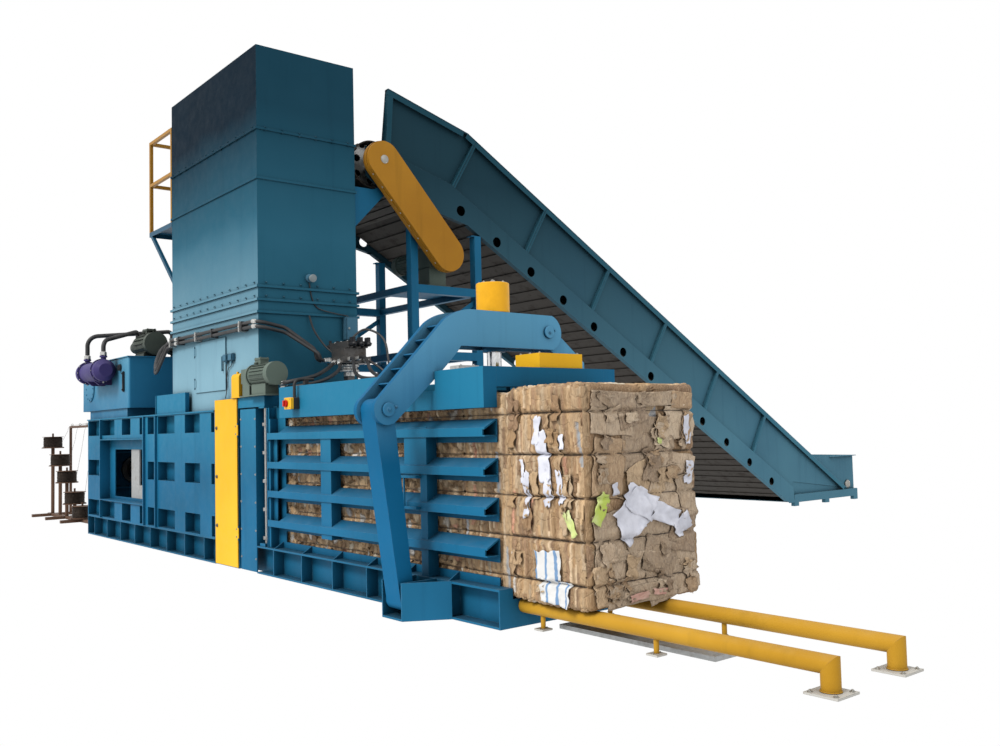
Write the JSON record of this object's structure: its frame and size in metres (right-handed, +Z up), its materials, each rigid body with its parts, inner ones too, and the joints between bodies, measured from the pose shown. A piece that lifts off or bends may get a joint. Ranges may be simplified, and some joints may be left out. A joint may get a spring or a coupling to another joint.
{
  "type": "recycling baler",
  "caption": "Horizontal channel baler for recycling with a feed tower, a slat conveyor, a tying unit, a tension clamp, a wire stand and a finished bale on its run-out rails.",
  "frame": {"origin": "on the floor under the middle of the machine's length of channel, in the plane of its centre line", "axes": "+X is the pressing direction, towards the bale exit; -Y is the working side; +Z is up"},
  "size_m": [16.4275, 12.0249, 5.52],
  "materials": {
    "machine_blue": "satin paint",
    "safety_yellow": "satin paint",
    "rail_orange": "satin paint",
    "motor_grey": "satin paint",
    "cooler_indigo": "satin paint",
    "worn_steel": "worn by the pressed waste",
    "ram_grey": "worn primer",
    "rod_chrome": "polished",
    "cast_housing": "as cast",
    "belt_brown": "rusted",
    "hose_rubber": "matt",
    "wire_steel": "annealed wire",
    "cardboard": "pressed board",
    "knob_red": "glossy",
    "spool_grey": "satin paint",
    "tray_grey": "galvanised"
  },
  "bodies": {
    "frame": {"base_skid": "machine_blue", "press_side_near": "machine_blue", "press_side_far": "machine_blue", "press_roof": "machine_blue", "rear_bulkhead": "machine_blue", "shear_knife": "worn_steel", "main_cylinder": "cast_housing", "hopper_base": "machine_blue", "hopper_middle": "machine_blue", "hopper_top": "machine_blue", "service_platform": "machine_blue", "oil_tank": "machine_blue", "pump_sets": "motor_grey", "oil_cooler": "cooler_indigo", "hydraulic_hoses": "hose_rubber", "tying_column": "machine_blue", "tying_motor": "motor_grey", "tying_chain_guard": "safety_yellow", "needle_frame": "machine_blue", "channel_side_near": "machine_blue", "channel_side_far": "machine_blue", "channel_roof": "machine_blue", "exit_cover": "safety_yellow", "clamp_brackets": "machine_blue", "isolator_box": "safety_yellow", "valve_manifold": "cast_housing", "run_out_rails": "rail_orange", "drip_tray": "tray_grey", "front_bale": "cardboard", "channel_bales": "cardboard", "bale_wires": "wire_steel", "conveyor_side_near": "machine_blue", "conveyor_side_far": "machine_blue", "conveyor_bed": "machine_blue", "conveyor_belt": "belt_brown", "drive_guard": "safety_yellow", "drive_gearmotor": "motor_grey", "conveyor_support": "machine_blue", "inlet_chute": "machine_blue", "spool_stand": "machine_blue"},
    "ram": {"ram": "ram_grey", "piston_rod": "rod_chrome"},
    "hopper_door": {"hopper_door": "machine_blue"},
    "tying_door": {"tying_door": "safety_yellow"},
    "twister": {"twister_shaft": "worn_steel"},
    "needles": {"needle_carriage": "worn_steel"},
    "pressure_plate": {"pressure_plate": "machine_blue"},
    "near_arm": {"near_arm": "machine_blue"},
    "cross_lever": {"cross_lever": "machine_blue", "tension_cylinder": "machine_blue"},
    "tension_rod": {"tension_rod": "rod_chrome"},
    "far_arm": {"far_arm": "machine_blue"},
    "isolator_knob": {"isolator_knob": "knob_red"},
    "head_shaft": {"head_shaft": "worn_steel"},
    "tail_shaft": {"tail_shaft": "worn_steel"},
    "spool_1": {"spool_1": "spool_grey"},
    "spool_2": {"spool_2": "spool_grey"},
    "spool_3": {"spool_3": "spool_grey"},
    "spool_4": {"spool_4": "spool_grey"},
    "spool_5": {"spool_5": "spool_grey"}
  },
  "joints": [
    {"name": "ram_stroke", "type": "slide", "parent": "frame", "child": "ram", "axis": [1, 0, 0], "range_m": [0, 1.6]},
    {"name": "hopper_door_hinge", "type": "hinge", "parent": "frame", "child": "hopper_door", "pos_m": [-1.128, -0.604, 2.19], "axis": [0, 0, -1], "range_deg": [0, 110]},
    {"name": "tying_door_hinge", "type": "hinge", "parent": "frame", "child": "tying_door", "pos_m": [0.203, -0.666, 0.9], "axis": [0, 0, 1], "range_deg": [0, 110]},
    {"name": "twister_turn", "type": "hinge", "parent": "frame", "child": "twister", "pos_m": [0.77, -0.615, 0.98], "axis": [0, 0, 1], "continuous": true},
    {"name": "needle_stroke", "type": "slide", "parent": "frame", "child": "needles", "axis": [0, -1, 0], "range_m": [0, 1.165]},
    {"name": "pressure_plate_hinge", "type": "hinge", "parent": "frame", "child": "pressure_plate", "pos_m": [2.52, 0, 1.714], "axis": [0, -1, 0], "range_deg": [0, 2]},
    {"name": "near_arm_pivot", "type": "hinge", "parent": "frame", "child": "near_arm", "pos_m": [3.668, -0.905, 0.13], "axis": [1, 0, 0], "range_deg": [-0.6, 0.6]},
    {"name": "cross_lever_pivot", "type": "hinge", "parent": "near_arm", "child": "cross_lever", "pos_m": [3.668, -1.09, 1.56], "axis": [1, 0, 0], "range_deg": [-0.65, 0.65]},
    {"name": "far_arm_pivot", "type": "hinge", "parent": "frame", "child": "far_arm", "pos_m": [3.668, 0.905, 0.13], "axis": [1, 0, 0], "range_deg": [-0.5, 0.5]},
    {"name": "tension_rod_stroke", "type": "slide", "parent": "cross_lever", "child": "tension_rod", "axis": [0, 0, 1], "range_m": [0, 0.0401]},
    {"name": "isolator_knob_turn", "type": "hinge", "parent": "frame", "child": "isolator_knob", "pos_m": [1.53, -0.762, 1.685], "axis": [0, 1, 0], "range_deg": [0, 90]},
    {"name": "head_shaft_turn", "type": "hinge", "parent": "frame", "child": "head_shaft", "pos_m": [-0.657, 0.92, 4.5], "axis": [1, 0, 0], "continuous": true},
    {"name": "tail_shaft_turn", "type": "hinge", "parent": "frame", "child": "tail_shaft", "pos_m": [-0.657, 10.6, 0.2699], "axis": [1, 0, 0], "continuous": true},
    {"name": "spool_1_turn", "type": "hinge", "parent": "frame", "child": "spool_1", "pos_m": [-9.15, -0.15, 1.35], "axis": [0, 0, 1], "continuous": true},
    {"name": "spool_2_turn", "type": "hinge", "parent": "frame", "child": "spool_2", "pos_m": [-8.65, -0.15, 1.03], "axis": [0, 0, 1], "continuous": true},
    {"name": "spool_3_turn", "type": "hinge", "parent": "frame", "child": "spool_3", "pos_m": [-8.22, -0.15, 0.74], "axis": [0, 0, 1], "continuous": true},
    {"name": "spool_4_turn", "type": "hinge", "parent": "frame", "child": "spool_4", "pos_m": [-7.74, -0.15, 0.39], "axis": [0, 0, 1], "continuous": true},
    {"name": "spool_5_turn", "type": "hinge", "parent": "frame", "child": "spool_5", "pos_m": [-7.28, -0.15, 0.17], "axis": [0, 0, 1], "continuous": true}
  ],
  "couplings": [
    {"joint": "cross_lever_pivot", "follows": "near_arm_pivot", "ratio": -1.0467},
    {"joint": "far_arm_pivot", "follows": "near_arm_pivot", "ratio": 0.67569},
    {"joint": "tension_rod_stroke", "follows": "pressure_plate_hinge", "m_per_rad": 1.148},
    {"joint": "tail_shaft_turn", "follows": "head_shaft_turn", "ratio": 2.1538}
  ]
}
